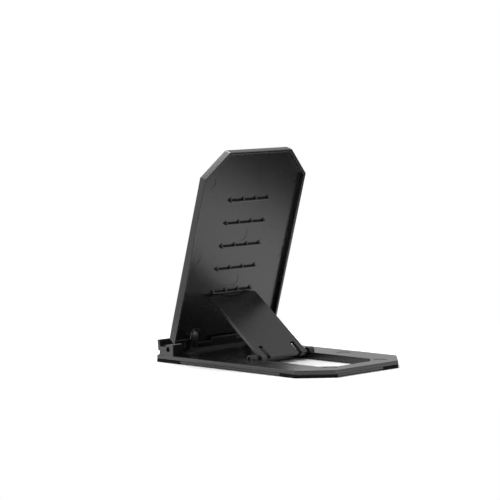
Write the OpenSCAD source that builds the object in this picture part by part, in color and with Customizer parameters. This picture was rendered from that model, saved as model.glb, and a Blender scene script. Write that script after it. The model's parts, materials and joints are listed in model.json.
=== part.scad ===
// Folding phone stand: a base with a lipped phone cradle, a tilting backrest tray and a
// strut whose tip catches under one of five ledges on the back of the tray.
// X runs across the stand, +Y points to its rear and Z = 0 is the table.
// The origin is the centre of the base's footprint, shown on the lowest ledge.

/* [Base] */
// Width of the base across the stand
base_w = 85; // [84:0.5:90]
// Length of the base from the front edge to the rear edge
base_l = 135; // [133:0.5:145]
// Height of the base's upper face above the table
deck_z = 4.4; // [4.2:0.1:4.4]
// Height of the gap that the rubber feet leave under the base
foot_gap = 0.5; // [0.4:0.1:0.8]
// Size of the cut across each rear corner of the base
base_cut = 16.8; // [15:0.2:19]
// Width of the window that the strut folds into
window_w = 43; // [42:0.5:44]

/* [Cradle] */
// Distance between the two lips, left open for a charging cable
lip_gap = 28; // [24:0.5:34]
// Height of the shelf that the phone stands on
shelf_z = 9.6; // [9:0.1:9.8]
// Height of the lip's top edge above the table
lip_z = 13.6; // [12:0.2:15]
// Thickness of the lip
lip_t = 2.2; // [1.8:0.1:2.4]

/* [Backrest] */
// Width of the backrest tray
back_w = 83.4; // [82:0.2:84]
// Angle that the backrest leans back from upright
lean = 17.5; // [17.5:0.1:17.6]
// Size of the cut across each upper corner of the tray
back_cut = 16.2; // [14:0.2:18]
// Thickness of the walls round the tray
rim_t = 1.7; // [1.4:0.1:2]
// Thickness of the panel that the phone leans on
skin_t = 2.2; // [2:0.05:2.25]
// Distance between two neighbouring ledges
ledge_pitch = 14.65; // [14.5:0.05:14.8]
// Width of each ledge
ledge_w = 32; // [28:0.5:34]

/* [Strut] */
// Width of the strut
strut_w = 37.7; // [37:0.1:38]
// Thickness of the strut's plate
strut_t = 2.2; // [1.8:0.1:2.2]
// Elevation of the strut above the table
strut_rise = 37.3; // [37.2:0.05:37.4]
// Distance from the strut's pivot to its tip
strut_l = 54; // [53.8:0.05:54]

/* [Hidden] */
$fn = 64;
front_y = -base_l / 2;

// backrest hinge: one axis through both side blocks
hinge_y = front_y + 10.2;
hinge_z = 8.2;
block_w = 8.5;
block_rear = 14.55;
boss_r = 3.0;
hinge_bore_r = 1.55;
hinge_pin_r = 1.50;
hinge_pin_end = base_w / 2 - 1.5;

// strut pivot: one axis through both lugs
pivot_y = front_y + 63.75;
pivot_z = 4.8;
lug_in = window_w / 2 + 0.3;
lug_out = lug_in + 4.2;
lug_r = 2.5;
pivot_bore_r = 1.25;
pivot_pin_r = 1.20;

// base window
window_front = front_y + 59.2;
window_rear = front_y + 123.8;
window_cut = 7.6;

// underside of the base
base_skin = 1.7;
rib_t = 1.5;
lug_rib = 8;
mark_at = [[28, 42], [31.5, 85], [21, 125]];

// rubber feet
foot_h = 1.75;
foot_band = 6;
front_foot_run = 20.5;
front_foot_reach = 13;
rear_foot_leg = 12.5;
rear_foot_stub = 1;
side_step_z = 1.95;
side_step = 0.15;

// cradle, with y counted from the front edge
shelf_under = 7.0;
shelf_end = 6.9;
web_front = 1.6;
web_inset = 0.6;
lip_lean = 0.6;
pad_t = 0.6;
pad_edge = 1.5;
pad_gap = 1.1;

// backrest tray, in its own frame: x across, y rearwards, z up along the tray
tray_front = -1.6;
tray_rear = 3.55;
tray_top = base_l / 2 - hinge_y;
skin_rear = tray_front + skin_t;
wall_foot = 7.0;
slot_in = 23.1;
slot_out = 27.8;
slot_arch = 9.7;
slot_wall = 1.3;
ear_out = 32.0;
ear_r = 2.9;
strip_low_front = 6.6;
strip_low_rear = 4.5;
bar_low = -0.1;
bar_high = 3.8;
bar_step = 5.9;
bar_step_w = 21.2;
bar_step_t = 1.7;
first_ledge = 33.85;
ledge_rows = 5;
ledge_t = 1.1;
ledge_reach = 1.85;
gusset_h = 2.2;
gusset_t = 1.2;
mark_depth = 0.15;
mark_r = 4.2;
side_mark_r = 3.7;
middle_marks = [10.5, 41.9, 71, 116.5];
side_marks = [[14.8, 19.9], [34.5, 57.7], [33.8, 105.3]];
grip_t = 0.5;
grip_w = 44;
grip_low = 12;
grip_high = 104;
grip_cut = 8;

// strut plate, in its own frame: x across, y along to the tip, z away from the pins
plate_off = 0.35;
tail = 2.7;
slit_in = 11.7;
slit_out = 14.6;
slit_top = 7.2;
tip_r = 2.6;
tip_bevel = 0.6;
scoop_w = 20;
scoop_l = 7.8;
scoop_d = 0.9;

// ---- helpers ----

// The same child on the left and the right side.
module both_sides() {
    children();
    mirror([1, 0, 0]) children();
}

// A prism along X from x0 to x1 whose side view is the polygon pts of [y, z].
module side_prism(x0, x1, pts) {
    translate([x0, 0, 0]) rotate([90, 0, 90]) linear_extrude(x1 - x0) polygon(pts);
}

// A round bar along X from x0 to x1.
module x_bar(x0, x1, y, z, r) {
    translate([x0, y, z]) rotate([0, 90, 0]) cylinder(r = r, h = x1 - x0);
}

// A rectangle of width w from y0 to y1 with both of its far corners cut by c.
function cut_rect(w, y0, y1, c) = [
    [-w / 2, y0], [w / 2, y0], [w / 2, y1 - c],
    [w / 2 - c, y1], [-w / 2 + c, y1], [-w / 2, y1 - c]];

// ---- base ----

module base_outline(inset) {
    cut = base_cut - 2 * inset * tan(22.5);
    polygon(cut_rect(base_w - 2 * inset, front_y + inset, -front_y - inset, cut));
}

module window_outline() {
    polygon(cut_rect(window_w, window_front, window_rear, window_cut));
}

// Side block that carries one end of the backrest's hinge.
module hinge_block() {
    x0 = base_w / 2 - block_w;
    rear = front_y + block_rear;
    translate([x0, hinge_y, deck_z - 1]) cube([block_w, rear - hinge_y, hinge_z + boss_r - deck_z + 1]);
    x_bar(x0, base_w / 2, hinge_y, hinge_z, boss_r);
}

// Shelf that the phone stands on, with the web that joins it to the deck.
module cradle_shelf() {
    side = base_w / 2;
    f = front_y;
    side_prism(-side + web_inset, side - web_inset, [
        [f + web_front - 0.8, deck_z - 1], [f + web_front - 0.8, deck_z], [f + web_front, deck_z + 0.8],
        [f + web_front, shelf_under + 0.5], [f + shelf_end, shelf_under + 0.5],
        [f + shelf_end, deck_z - 1]]);
    side_prism(-side, side, [
        [f + 0.5 + lip_lean, shelf_under], [f + 0.5 + lip_lean, shelf_z],
        [f + shelf_end, shelf_z], [f + shelf_end, shelf_under]]);
}

// Upright lip in front of the shelf, from the cable gap to the side of the base.
module cradle_lip() {
    f = front_y;
    side_prism(lip_gap / 2, base_w / 2, [
        [f + 0.5 + lip_lean, shelf_under], [f + 0.5, lip_z - 0.5], [f + 0.9, lip_z],
        [f + 0.1 + lip_t, lip_z], [f + 0.5 + lip_t, lip_z - 0.5], [f + 0.8 + lip_t, shelf_z],
        [f + 0.8 + lip_t, shelf_under]]);
}

// Floor between the shelf and the hinge block.
module shelf_link() {
    side_prism(base_w / 2 - block_w, base_w / 2, [
        [front_y + shelf_end - 0.5, deck_z - 1], [front_y + shelf_end - 0.5, shelf_z],
        [hinge_y, shelf_z], [hinge_y, deck_z - 1]]);
}

// Rounded lug beside the window that carries one of the strut's pins.
module strut_lug() {
    x_bar(lug_in, lug_out, pivot_y, pivot_z, lug_r);
    translate([lug_in, pivot_y - lug_r, deck_z - 1]) cube([lug_out - lug_in, 2 * lug_r, pivot_z - deck_z + 1]);
}

// Footprint of one foot on the +X side: a band that wraps round the corner.
module front_foot_outline() {
    x = base_w / 2;
    polygon([[x, front_y], [x, front_y + front_foot_run], [x - foot_band, front_y + front_foot_run],
             [x - foot_band, front_y + foot_band], [x - front_foot_reach, front_y + foot_band],
             [x - front_foot_reach, front_y]]);
}

// A rear foot runs for side_run along the side of the base and for rear_run along its rear.
module rear_foot_outline(side_run, rear_run) {
    x = base_w / 2;
    y = -front_y;
    knee = base_cut + foot_band * tan(22.5);
    polygon([[x, y - base_cut - side_run], [x, y - base_cut], [x - base_cut, y],
             [x - base_cut - rear_run, y], [x - base_cut - rear_run, y - foot_band],
             [x - knee, y - foot_band], [x - foot_band, y - knee],
             [x - foot_band, y - base_cut - side_run]]);
}

// The two rear feet are one part, so its long leg lies along the side on the right
// and along the rear edge on the left.
module rear_right_outline() {
    rear_foot_outline(rear_foot_leg, rear_foot_stub);
}

module rear_left_outline() {
    mirror([1, 0, 0]) rear_foot_outline(rear_foot_stub, rear_foot_leg);
}

// One hollow under the base, from corner to corner, with the given side-by-side cells.
module pocket_row(x0, x1, y0, y1, cells) {
    pitch = (y1 - y0 + rib_t) / cells;
    for (i = [0 : cells - 1])
        translate([x0, y0 + i * pitch, -1]) cube([x1 - x0, pitch - rib_t, deck_z - base_skin + 1]);
}

module underside_pockets() {
    rail_in = window_w / 2 + rib_t;
    both_sides() {
        pocket_row(rail_in, base_w / 2 - foot_band - rib_t, window_front + lug_rib, base_l / 2 - base_cut - rib_t, 3);
        pocket_row(rib_t / 2, rail_in + 2, front_y + foot_band + rib_t, window_front - rib_t, 3);
    }
}

// Round ejector marks on the deck, given as [x, y from the front edge].
module deck_marks() {
    both_sides()
        for (p = mark_at)
            translate([p[0], front_y + p[1], deck_z - mark_depth]) cylinder(r = mark_r, h = 1);
}

module base_plate() {
    color([0.10, 0.10, 0.11])
    difference() {
        union() {
            translate([0, 0, side_step_z]) linear_extrude(deck_z - side_step_z)
                difference() {
                    base_outline(0);
                    window_outline();
                }
            translate([0, 0, foot_gap]) linear_extrude(deck_z - foot_gap - 1)
                difference() {
                    base_outline(side_step);
                    window_outline();
                }
            cradle_shelf();
            both_sides() {
                hinge_block();
                cradle_lip();
                shelf_link();
                strut_lug();
            }
        }
        both_sides() {
            x_bar(base_w / 2 - block_w - 1, base_w / 2 + 1, hinge_y, hinge_z, hinge_bore_r);
            x_bar(lug_in - 1, lug_out + 1, pivot_y, pivot_z, pivot_bore_r);
            translate([0, 0, -1]) linear_extrude(foot_h + 1) front_foot_outline();
        }
        translate([0, 0, -1]) linear_extrude(foot_h + 1) {
            rear_right_outline();
            rear_left_outline();
        }
        deck_marks();
        underside_pockets();
    }
}

// ---- rubber feet and pads ----

module foot_rubber() {
    color([0.03, 0.03, 0.03]) linear_extrude(foot_h) children();
}

module cradle_pad() {
    color([0.05, 0.05, 0.05])
        translate([lip_gap / 2 + pad_edge, front_y + lip_t + pad_gap, shelf_z])
            cube([(base_w - lip_gap) / 2 - 2 * pad_edge, shelf_end - lip_t - pad_gap - 0.2, pad_t]);
}

// ---- backrest ----

// Places a child from the tray's frame into the stand's frame.
module on_tray() {
    translate([0, hinge_y, hinge_z]) rotate([-lean, 0, 0]) children();
}

// A prism through the tray's thickness from y0 to y1 whose front view is its child.
module tray_prism(y0, y1) {
    translate([0, y1, 0]) rotate([90, 0, 0]) linear_extrude(y1 - y0) children();
}

// Arch-topped slot between the centre and an ear, grown by g on each side.
module slot_outline(g) {
    mid = (slot_in + slot_out) / 2;
    r = (slot_out - slot_in) / 2 + g;
    translate([mid, slot_arch]) circle(r);
    translate([mid - r, -10]) square([2 * r, slot_arch + 10]);
}

// Hollow behind the panel, inside the rim.
module tray_hollow() {
    inner_w = back_w - 2 * rim_t;
    inner_cut = back_cut - rim_t * tan(22.5);
    difference() {
        polygon(cut_rect(inner_w, wall_foot, tray_top - rim_t, inner_cut));
        both_sides() slot_outline(slot_wall);
        translate([-slot_in, -1]) square([2 * slot_in, bar_high + 1]);
    }
    translate([-slot_in + slot_wall, bar_high]) square([2 * (slot_in - slot_wall), wall_foot - bar_high + 1]);
}

// Side view of everything below the slanted lower edge of the tray's outer strips.
module strip_cut() {
    slope = (strip_low_front - strip_low_rear) / (tray_rear - tray_front);
    side_prism(slot_out + 0.01, back_w, [
        [tray_front - 1, strip_low_front + slope], [tray_rear + 1, strip_low_rear - slope],
        [tray_rear + 1, -8], [tray_front - 1, -8]]);
}

// Flexible ear with the pin that snaps into the hinge block.
module hinge_ear() {
    intersection() {
        union() {
            x_bar(slot_out, ear_out, 0, 0, ear_r);
            translate([slot_out, tray_front, 0]) cube([ear_out - slot_out, ear_r - tray_front, wall_foot]);
        }
        translate([slot_out - 1, tray_front, -ear_r]) cube([10, 10, 20]);
    }
    x_bar(ear_out - 0.5, hinge_pin_end, 0, 0, hinge_pin_r);
}

// One catch ledge with four gussets above it.
module catch_ledge() {
    reach = skin_rear + ledge_reach;
    translate([-ledge_w / 2, skin_rear - 0.5, 0]) cube([ledge_w, ledge_reach + 0.5, ledge_t]);
    for (i = [0 : 3])
        let (x = -ledge_w / 2 + i * (ledge_w - gusset_t) / 3)
            side_prism(x, x + gusset_t, [
                [skin_rear - 0.5, ledge_t - 0.1], [reach - 0.2, ledge_t - 0.1], [reach - 0.2, ledge_t],
                [skin_rear, ledge_t + gusset_h], [skin_rear - 0.5, ledge_t + gusset_h]]);
}

// One round ejector mark of radius r on the panel's rear face.
module tray_mark(x, z, r) {
    translate([x, skin_rear - mark_depth, z]) rotate([-90, 0, 0]) cylinder(r = r, h = mark_depth + 0.1);
}

module tray_marks() {
    for (z = middle_marks)
        tray_mark(0, z, mark_r);
    both_sides()
        for (p = side_marks)
            tray_mark(p[0], p[1], side_mark_r);
}

module grip_recess(extra) {
    tray_prism(tray_front - extra, tray_front + grip_t)
        polygon(cut_rect(grip_w, grip_low, grip_high, grip_cut));
}

module backrest() {
    color([0.12, 0.12, 0.12])
    on_tray() {
        difference() {
            union() {
                difference() {
                    tray_prism(tray_front, tray_rear)
                        polygon(cut_rect(back_w, bar_low, tray_top, back_cut));
                    both_sides() {
                        tray_prism(tray_front - 1, tray_rear + 1) slot_outline(0);
                        strip_cut();
                    }
                    tray_prism(skin_rear, tray_rear + 1) tray_hollow();
                }
                tray_prism(tray_rear - bar_step_t, tray_rear)
                    translate([-bar_step_w / 2, bar_high - 0.5]) square([bar_step_w, bar_step - bar_high + 0.5]);
                for (k = [0 : ledge_rows - 1])
                    translate([0, 0, first_ledge + k * ledge_pitch]) catch_ledge();
                both_sides() hinge_ear();
            }
            tray_marks();
            grip_recess(1);
        }
    }
}

module backrest_grip_pad() {
    color([0.05, 0.05, 0.05]) on_tray() grip_recess(0);
}

// ---- strut ----

// Places a child from the strut's frame into the stand's frame.
module on_strut() {
    translate([0, pivot_y, pivot_z]) rotate([-strut_rise, 0, 0]) rotate([0, 0, 180]) children();
}

module strut_outline() {
    difference() {
        union() {
            translate([-strut_w / 2, -tail]) square([strut_w, strut_l + tail - tip_r]);
            translate([-strut_w / 2 + tip_r, 0]) square([strut_w - 2 * tip_r, strut_l]);
            for (x = [-1, 1])
                translate([x * (strut_w / 2 - tip_r), strut_l - tip_r]) circle(tip_r);
        }
        both_sides() translate([slit_in, -tail - 1]) square([slit_out - slit_in, slit_top + tail + 1]);
    }
}

// Shallow ramp for a fingertip at the middle of the tip.
module finger_scoop() {
    r = (pow(scoop_w / 2, 2) + pow(scoop_d, 2)) / (2 * scoop_d);
    translate([0, strut_l, plate_off + strut_t - scoop_d + r])
        rotate([-atan(scoop_d / scoop_l), 0, 0]) translate([0, 10, 0]) rotate([90, 0, 0])
            cylinder(r = r, h = 40, $fn = 128);
}

module strut() {
    color([0.12, 0.12, 0.12])
    on_strut() {
        difference() {
            union() {
                translate([0, 0, plate_off]) linear_extrude(strut_t) strut_outline();
                both_sides() {
                    x_bar(slit_out, strut_w / 2, 0, 0, lug_r - 0.1);
                    x_bar(strut_w / 2 - 0.5, lug_out - 0.8, 0, 0, pivot_pin_r);
                }
            }
            finger_scoop();
            side_prism(-strut_w, strut_w, [
                [strut_l - tip_bevel, plate_off - 0.01], [strut_l + 0.01, plate_off + tip_bevel],
                [strut_l + 1, plate_off + tip_bevel], [strut_l + 1, plate_off - 1],
                [strut_l - tip_bevel, plate_off - 1]]);
        }
    }
}

// ---- nodes ----

base_plate();
backrest();
strut();
foot_rubber() front_foot_outline();  // foot_front_right
foot_rubber() mirror([1, 0, 0]) front_foot_outline();  // foot_front_left
foot_rubber() rear_right_outline();  // foot_rear_right
foot_rubber() rear_left_outline();  // foot_rear_left
cradle_pad();  // cradle_pad_right
mirror([1, 0, 0]) cradle_pad();  // cradle_pad_left
backrest_grip_pad();
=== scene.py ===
"""Looks of the folding phone stand: moulded plastic, rubber feet, ribbed pads and a white studio."""

import json
import math

import bmesh
import bpy
from mathutils import Matrix, Vector


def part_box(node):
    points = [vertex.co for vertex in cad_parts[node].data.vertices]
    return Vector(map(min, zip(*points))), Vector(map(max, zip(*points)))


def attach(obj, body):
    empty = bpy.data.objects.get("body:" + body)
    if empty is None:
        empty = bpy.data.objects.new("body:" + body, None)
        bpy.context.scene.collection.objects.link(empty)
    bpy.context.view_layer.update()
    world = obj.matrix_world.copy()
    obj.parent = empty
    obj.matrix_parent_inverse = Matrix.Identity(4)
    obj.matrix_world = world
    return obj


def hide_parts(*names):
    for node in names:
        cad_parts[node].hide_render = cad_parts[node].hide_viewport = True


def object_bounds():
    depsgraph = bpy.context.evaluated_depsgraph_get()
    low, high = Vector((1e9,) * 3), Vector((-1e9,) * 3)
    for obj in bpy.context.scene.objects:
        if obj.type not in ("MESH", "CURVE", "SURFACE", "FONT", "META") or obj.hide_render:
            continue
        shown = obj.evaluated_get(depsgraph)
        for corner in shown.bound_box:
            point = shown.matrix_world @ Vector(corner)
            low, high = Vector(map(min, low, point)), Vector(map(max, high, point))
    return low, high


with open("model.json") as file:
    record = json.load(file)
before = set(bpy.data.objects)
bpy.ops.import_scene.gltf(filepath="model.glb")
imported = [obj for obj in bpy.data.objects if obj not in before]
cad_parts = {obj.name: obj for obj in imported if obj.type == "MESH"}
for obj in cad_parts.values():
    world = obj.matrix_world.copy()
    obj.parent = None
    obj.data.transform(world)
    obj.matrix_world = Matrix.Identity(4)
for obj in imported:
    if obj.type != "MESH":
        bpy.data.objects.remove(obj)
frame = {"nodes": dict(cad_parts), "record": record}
cad_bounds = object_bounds()

MM = 0.001
NODES = frame["nodes"]
RECORD = frame["record"]
WIDTH = cad_bounds[1][0] - cad_bounds[0][0]
SHARP = math.radians(28)      # a wider turn than this is an edge, not a curve
FLAT = math.radians(0.6)      # faces that turn less than this lie in one plane
WELD = 0.002 * MM             # corners nearer than this are one corner

# Axes of the leaning backrest, from the face that the phone leans on.
PHONE_FACE = next(m for m in RECORD["mounts"] if m["name"] == "phone_back_face")
OUT_OF_BACK = -Vector(PHONE_FACE["axis"])
UP_THE_BACK = Vector((1, 0, 0)).cross(OUT_OF_BACK)


# ---- shader helpers ----

class Shade:
    """A Principled material being built, with short calls for its usual nodes."""

    def __init__(self, name):
        self.material = bpy.data.materials.new(name)
        self.material.use_nodes = True
        self.tree = self.material.node_tree
        self.tree.nodes.clear()
        self.out = self.add("ShaderNodeOutputMaterial")
        self.shader = self.add("ShaderNodeBsdfPrincipled")
        self.place = self.add("ShaderNodeTexCoord").outputs["Object"]
        self.link(self.shader.outputs["BSDF"], self.out.inputs["Surface"])

    def add(self, kind):
        return self.tree.nodes.new(kind)

    def link(self, source, socket):
        self.tree.links.new(source, socket)

    def put(self, value, socket):
        """Gives a socket another node's output, or a plain value."""
        if isinstance(value, bpy.types.NodeSocket):
            self.link(value, socket)
        else:
            socket.default_value = value

    def stretched(self, stretch, turn=(0, 0, 0)):
        """The object's coordinates scaled by stretch and turned."""
        node = self.add("ShaderNodeMapping")
        node.inputs["Scale"].default_value = stretch
        node.inputs["Rotation"].default_value = turn
        self.link(self.place, node.inputs["Vector"])
        return node.outputs["Vector"]

    def noise(self, scale, detail=2.0, roughness=0.5, place=None):
        """Noise round 0.5, with scale in cycles per metre."""
        node = self.add("ShaderNodeTexNoise")
        node.inputs["Scale"].default_value = scale
        node.inputs["Detail"].default_value = detail
        node.inputs["Roughness"].default_value = roughness
        self.link(place or self.place, node.inputs["Vector"])
        return node.outputs["Fac"]

    def remap(self, value, low, high, new_low=0.0, new_high=1.0):
        """value taken from low..high to new_low..new_high, clamped."""
        node = self.add("ShaderNodeMapRange")
        node.inputs["From Min"].default_value = low
        node.inputs["From Max"].default_value = high
        node.inputs["To Min"].default_value = new_low
        node.inputs["To Max"].default_value = new_high
        self.link(value, node.inputs["Value"])
        return node.outputs["Result"]

    def maths(self, operation, a, b):
        node = self.add("ShaderNodeMath")
        node.operation = operation
        self.put(a, node.inputs[0])
        self.put(b, node.inputs[1])
        return node.outputs[0]

    def mix(self, factor, a, b):
        """Colour a where factor is 0 and b where it is 1."""
        node = self.add("ShaderNodeMix")
        node.data_type = "RGBA"
        self.put(factor, node.inputs["Factor"])
        self.put(a, node.inputs["A"])
        self.put(b, node.inputs["B"])
        return node.outputs["Result"]

    def bump(self, height, distance, strength, under=None):
        """A bump in metres, laid over an earlier one."""
        node = self.add("ShaderNodeBump")
        node.inputs["Distance"].default_value = distance
        node.inputs["Strength"].default_value = strength
        self.link(height, node.inputs["Height"])
        if under is not None:
            self.link(under, node.inputs["Normal"])
        return node.outputs["Normal"]

    def finish(self, colour, roughness, normal, specular=0.6):
        self.link(colour, self.shader.inputs["Base Color"])
        self.link(roughness, self.shader.inputs["Roughness"])
        self.link(normal, self.shader.inputs["Normal"])
        self.shader.inputs["IOR"].default_value = 1.5
        self.shader.inputs["Specular IOR Level"].default_value = specular
        return self.material


def grey(level, warmth=0.0):
    """A grey of the given linear level, with a little red added and blue taken for warmth."""
    return (level * (1 + warmth), level, level * (1 - warmth), 1.0)


# ---- materials ----

GRAIN = 2900          # spark-eroded grain, cycles per metre


def moulded_plastic(name, level, gloss, grain_depth):
    """Black satin plastic: fine grain, flow marks, faint rub marks and small colour changes."""
    s = Shade(name)
    grain = s.noise(GRAIN, 3.0, 0.6)
    mottle = s.noise(95, 4.0, 0.6)
    flow = s.noise(24, 2.0, 0.5)
    rubs = s.noise(60, 3.0, 0.7, s.stretched((1, 14, 5), (0.3, 0.2, 0.5)))
    rub = s.remap(rubs, 0.60, 0.74)
    colour = s.mix(s.remap(mottle, 0.3, 0.7), grey(level * 0.86), grey(level * 1.16, 0.01))
    colour = s.mix(s.maths("MULTIPLY", rub, 0.25), colour, grey(level * 1.8))
    rough = s.maths("ADD", s.remap(flow, 0.3, 0.7, gloss - 0.02, gloss + 0.02),
                    s.remap(grain, 0.25, 0.75, -0.035, 0.035))
    rough = s.maths("ADD", rough, s.maths("MULTIPLY", rub, 0.05))
    return s.finish(colour, rough, s.bump(grain, 0.00005, grain_depth))


def edge_highlight_and_wear(name, level, gloss):
    """The same plastic on the rounded edges, with a painted highlight: every edge is lighter than
    the body, and paler still and a little glossier in random worn patches.
    """
    s = Shade(name)
    wear_and_highlight = s.remap(s.noise(420, 4.0, 0.65), 0.42, 0.68)
    grain = s.noise(GRAIN, 2.0, 0.5)
    # painted highlight: the edges are 2 to 5 times the body's level, the top of that range in random
    # worn patches
    colour = s.mix(wear_and_highlight, grey(level * 2.0), grey(level * 5.0, 0.01))
    rough = s.remap(wear_and_highlight, 0, 1, gloss, gloss - 0.08)
    return s.finish(colour, rough, s.bump(grain, 0.00003, 0.2))


def dull_rubber(name, level):
    """Matte black rubber with a fine pebble and a trace of dust in it."""
    s = Shade(name)
    pebble = s.noise(2300, 3.0, 0.6)
    dust = s.remap(s.noise(320, 5.0, 0.65), 0.52, 0.80)
    colour = s.mix(dust, grey(level), grey(level * 1.7, 0.03))
    rough = s.remap(pebble, 0.2, 0.8, 0.68, 0.88)
    return s.finish(colour, rough, s.bump(pebble, 0.00005, 0.4), 0.12)


# ---- moulded bodies ----

MIN_REACH = 2.2       # roundings that a face must reach from its edge
BEVEL_FACE = 1        # material slot of the rounded edges

def new_piece(name, bm, materials, body, node):
    """Turns a finished bmesh into a piece that rides on a body and stands for a CAD node."""
    mesh = bpy.data.meshes.new(name)
    bm.to_mesh(mesh)
    bm.free()
    for material in materials:
        mesh.materials.append(material)
    piece = bpy.data.objects.new(name, mesh)
    bpy.context.scene.collection.objects.link(piece)
    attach(piece, body)
    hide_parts(node)
    return piece


def has_room(edge, width):
    """True if both faces beside an edge reach far enough from it to take a rounding.

    It looks at each face's farthest corner only, so an edge just across a thin strip is missed,
    and there the rounded faces can cross.
    """
    start = edge.verts[0].co
    along = (edge.verts[1].co - start).normalized()
    for face in edge.link_faces:
        reach = max((v.co - start).cross(along).length for v in face.verts)
        if reach < MIN_REACH * width:
            return False
    return True


def rounded_copy(node, width):
    """The node's shape with flat faces in one piece and its outer edges rounded as a mould does."""
    bm = bmesh.new()
    bm.from_mesh(NODES[node].data)
    bmesh.ops.remove_doubles(bm, verts=bm.verts, dist=WELD)
    bmesh.ops.dissolve_limit(bm, angle_limit=FLAT, verts=bm.verts, edges=bm.edges)
    for step in (width, width / 3):
        sharp = [e for e in bm.edges if e.is_convex and e.calc_face_angle(0) > SHARP
                 and has_room(e, step) and e.calc_length() > step]
        bmesh.ops.bevel(bm, geom=sharp, offset=step, offset_type="OFFSET", affect="EDGES",
                        segments=3, profile=0.5, clamp_overlap=False, material=BEVEL_FACE)
    for face in bm.faces:
        face.smooth = True
    for edge in bm.edges:
        edge.smooth = edge.calc_face_angle(0) < SHARP
    return bm


def moulding(node, body, width, level, gloss, grain_depth):
    """One plastic part: a grained body whose rounded edges carry a painted highlight and random
    wear.
    """
    face = moulded_plastic(f"{node}_moulded", level, gloss, grain_depth)
    edge = edge_highlight_and_wear(f"{node}_edge", level, gloss)
    piece = new_piece(f"{node}_moulding", rounded_copy(node, width), (face, edge), body, node)
    normals = piece.modifiers.new("normals", "WEIGHTED_NORMAL")
    normals.keep_sharp = True


def foot(node, rubber):
    """A rubber foot, whose edges are rounded as it is moulded."""
    NODES[node].data.materials.clear()
    NODES[node].data.materials.append(rubber)
    edges = NODES[node].modifiers.new("edges", "BEVEL")
    edges.width = 0.22 * MM
    edges.segments = 2
    edges.limit_method = "ANGLE"
    edges.angle_limit = SHARP


# ---- ribbed pads ----

def rib_profile(length, pitch, border, depth, steps=8):
    """Stations along a pad as (place, depth below the crest), ribbed between two flat borders."""
    count = max(1, round((length - 2 * border) / pitch))
    pitch = (length - 2 * border) / count
    stations = [(0.0, 0.0)]
    for i in range(count * steps + 1):
        phase = (i % steps) / steps
        sunk = depth * math.sin(math.pi * phase) ** 0.7
        stations.append((border + i * pitch / steps, sunk))
    return stations + [(length, 0.0)]


RIB_SIDE = 0.1 * MM   # run of the slope between a pad's border and its ribs


def ribbed_sheet(place, half_width, length, thick, pitch, border, depth):
    """A closed pad whose top has ribs across it; place(x, along, below the crest) gives a point."""
    bm = bmesh.new()
    rows = []
    for along, sunk in rib_profile(length, pitch, border, depth):
        half = half_width(along)
        inner = half - border
        across = ((-half, 0.0), (-inner, 0.0), (-inner + RIB_SIDE, sunk), (0.0, sunk),
                  (inner - RIB_SIDE, sunk), (inner, 0.0), (half, 0.0),
                  (half, thick), (-half, thick))
        rows.append([bm.verts.new(place(x, along, below)) for x, below in across])
    for row, after in zip(rows, rows[1:]):
        for i in range(len(row)):
            j = (i + 1) % len(row)
            bm.faces.new((row[i], row[j], after[j], after[i]))
    bm.faces.new(rows[0])
    bm.faces.new(rows[-1])
    bmesh.ops.recalc_face_normals(bm, faces=bm.faces)
    return bm


def grip_pad(material):
    """Silicone sheet let into the backrest's face, ribbed from side to side."""
    node = "backrest_grip_pad"
    local = [(v.co.x, v.co.dot(OUT_OF_BACK), v.co.dot(UP_THE_BACK))
             for v in NODES[node].data.vertices]
    half = max(p[0] for p in local)
    front, rear = min(p[1] for p in local), max(p[1] for p in local)
    low, high = min(p[2] for p in local), max(p[2] for p in local)
    narrow = max(p[0] for p in local if p[2] > high - 0.1 * MM)
    cut = half - narrow           # the top corners are cut at 45 degrees

    def half_width(along):
        return half - max(0.0, along - (high - low - cut))

    def place(x, along, below):
        return Vector((x, 0, 0)) + OUT_OF_BACK * (front + below) + UP_THE_BACK * (low + along)

    bm = ribbed_sheet(place, half_width, length=high - low, thick=rear - front,
                      pitch=1.7 * MM, border=2.0 * MM, depth=0.26 * MM)
    new_piece("grip_pad_ribbed", bm, (material,), "backrest", node)


def cradle_pad(side, material):
    """Strip on the shelf with ribs along the phone's edge."""
    node = f"cradle_pad_{side}"
    low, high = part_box(node)
    middle = (low[0] + high[0]) / 2
    half = (high[0] - low[0]) / 2

    def place(x, along, below):
        return Vector((middle + x, low[1] + along, high[2] - below))

    bm = ribbed_sheet(place, lambda along: half, length=high[1] - low[1], thick=high[2] - low[2],
                      pitch=0.8 * MM, border=0.3 * MM, depth=0.2 * MM)
    new_piece(f"{node}_ribbed", bm, (material,), "base", node)


# ---- studio ----

FLOOR_R = 0.30                # radius of the paper on the table
PAPER_FADE = (0.155, 0.215)   # radii between which it fades out
LIGHTS_AIM = Vector((0, 0, 0.7 * WIDTH))

# Brightness of the room as the object sees it: 0 is straight down and 1 is straight up.
ROOM_LEVELS = ((0.40, 0.10), (0.49, 0.45), (0.56, 0.66), (0.80, 0.62), (1.0, 0.70))

# The photo's view, with lengths in widths of the stand.
VIEW_AZIMUTH = 136.46
VIEW_ELEVATION = 4.76
VIEW_ROLL = -1.25
VIEW_CENTRE = (0.3153, -0.0047, 0.819)
VIEW_DISTANCE = 15.78


def floor_material():
    """White paper that melts into the white room round it."""
    s = Shade("studio_paper")
    fibre = s.noise(900, 3.0, 0.6)
    colour = s.mix(s.remap(s.noise(4, 2.0), 0.3, 0.7), grey(0.90), grey(0.93))
    s.finish(colour, s.remap(fibre, 0.2, 0.8, 0.85, 0.95), s.bump(fibre, 0.00003, 0.1), 0.2)
    spread = s.add("ShaderNodeVectorMath")
    spread.operation = "LENGTH"
    s.link(s.place, spread.inputs[0])
    gone = s.remap(spread.outputs["Value"], *PAPER_FADE)
    clear = s.add("ShaderNodeBsdfTransparent")
    blend = s.add("ShaderNodeMixShader")
    s.link(gone, blend.inputs[0])
    s.link(s.shader.outputs["BSDF"], blend.inputs[1])
    s.link(clear.outputs["BSDF"], blend.inputs[2])
    s.link(blend.outputs["Shader"], s.out.inputs["Surface"])
    return s.material


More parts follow.
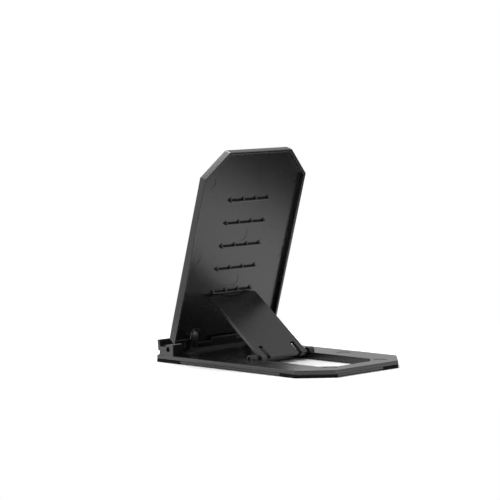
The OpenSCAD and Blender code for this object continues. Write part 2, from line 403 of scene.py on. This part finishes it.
def build_floor():
    bm = bmesh.new()
    bmesh.ops.create_circle(bm, cap_ends=True, radius=FLOOR_R, segments=96)
    mesh = bpy.data.meshes.new("studio_floor")
    bm.to_mesh(mesh)
    bm.free()
    mesh.materials.append(floor_material())
    floor = bpy.data.objects.new("studio_floor", mesh)
    bpy.context.scene.collection.objects.link(floor)


def direction(azimuth, elevation):
    """Unit vector from the object to a viewer: azimuth 0 stands at -Y and 90 stands at +X."""
    a, e = math.radians(azimuth), math.radians(elevation)
    return Vector((math.sin(a) * math.cos(e), -math.cos(a) * math.cos(e), math.sin(e)))


def aim(obj, target, roll=0.0):
    """Points an object's -Z at target, then rolls it about its own axis."""
    turn = (target - obj.location).to_track_quat("-Z", "Y").to_matrix().to_4x4()
    obj.matrix_world = Matrix.Translation(obj.location) @ turn @ Matrix.Rotation(roll, 4, "Z")


def softbox(name, azimuth, elevation, distance, size, radiance):
    """A square soft light with a side of size and the given radiance, aimed at the object."""
    data = bpy.data.lights.new(name, "AREA")
    data.shape = "SQUARE"
    data.size = size
    data.energy = radiance * math.pi * size * size
    lamp = bpy.data.objects.new(name, data)
    bpy.context.scene.collection.objects.link(lamp)
    lamp.location = LIGHTS_AIM + direction(azimuth, elevation) * distance
    lamp.visible_camera = False
    aim(lamp, LIGHTS_AIM)


def white_room():
    """White to the camera, and to the object a dimmer room that is dark below the table."""
    world = bpy.data.worlds.new("white_room")
    world.use_nodes = True
    tree = world.node_tree
    tree.nodes.clear()
    out = tree.nodes.new("ShaderNodeOutputWorld")
    seen = tree.nodes.new("ShaderNodeBackground")
    lit = tree.nodes.new("ShaderNodeBackground")
    blend = tree.nodes.new("ShaderNodeMixShader")
    ray = tree.nodes.new("ShaderNodeLightPath")
    place = tree.nodes.new("ShaderNodeTexCoord")
    parts = tree.nodes.new("ShaderNodeSeparateXYZ")
    ramp = tree.nodes.new("ShaderNodeValToRGB")
    height = tree.nodes.new("ShaderNodeMapRange")
    height.inputs["From Min"].default_value = -1.0
    seen.inputs["Color"].default_value = grey(1.0)
    seen.inputs["Strength"].default_value = 1.0
    stops = ramp.color_ramp.elements
    for stop, (position, level) in zip(stops, (ROOM_LEVELS[0], ROOM_LEVELS[-1])):
        stop.position = position
        stop.color = grey(level)
    for position, level in ROOM_LEVELS[1:-1]:
        stops.new(position).color = grey(level)
    tree.links.new(place.outputs["Generated"], parts.inputs[0])
    tree.links.new(parts.outputs["Z"], height.inputs["Value"])
    tree.links.new(height.outputs["Result"], ramp.inputs["Fac"])
    tree.links.new(ramp.outputs["Color"], lit.inputs["Color"])
    tree.links.new(ray.outputs["Is Camera Ray"], blend.inputs[0])
    tree.links.new(lit.outputs[0], blend.inputs[1])
    tree.links.new(seen.outputs[0], blend.inputs[2])
    tree.links.new(blend.outputs[0], out.inputs["Surface"])
    bpy.context.scene.world = world


def light_studio():
    """The room, a strong soft key above the tray, and a weak light that fills the near side."""
    white_room()
    softbox("key", azimuth=345, elevation=67, distance=1.20, size=0.90, radiance=8.0)
    softbox("left_side", azimuth=44, elevation=9, distance=1.10, size=0.80, radiance=0.85)


def place_camera():
    """From behind on the right, almost level, through a long lens, as the photo was taken."""
    target = Vector(VIEW_CENTRE) * WIDTH
    data = bpy.data.cameras.new("camera")
    data.lens = 165.1
    data.sensor_width = 36.0
    data.clip_start = 0.05
    camera = bpy.data.objects.new("camera", data)
    bpy.context.scene.collection.objects.link(camera)
    camera.location = target + direction(VIEW_AZIMUTH, VIEW_ELEVATION) * (VIEW_DISTANCE * WIDTH)
    aim(camera, target, math.radians(VIEW_ROLL))
    bpy.context.scene.camera = camera


moulding("base_plate", "base", width=0.40 * MM, level=0.0080, gloss=0.24, grain_depth=0.22)
moulding("backrest", "backrest", width=0.50 * MM, level=0.0080, gloss=0.24, grain_depth=0.12)
moulding("strut", "strut", width=0.40 * MM, level=0.0105, gloss=0.27, grain_depth=0.30)
foot_rubber = dull_rubber("foot_rubber_look", 0.004)
for node in NODES:
    if node.startswith("foot_"):
        foot(node, foot_rubber)
pad_rubber = dull_rubber("pad_rubber_look", 0.017)
grip_pad(pad_rubber)
for side in ("left", "right"):
    cradle_pad(side, pad_rubber)
build_floor()
light_studio()
place_camera()
bpy.context.scene.view_settings.view_transform = "Standard"
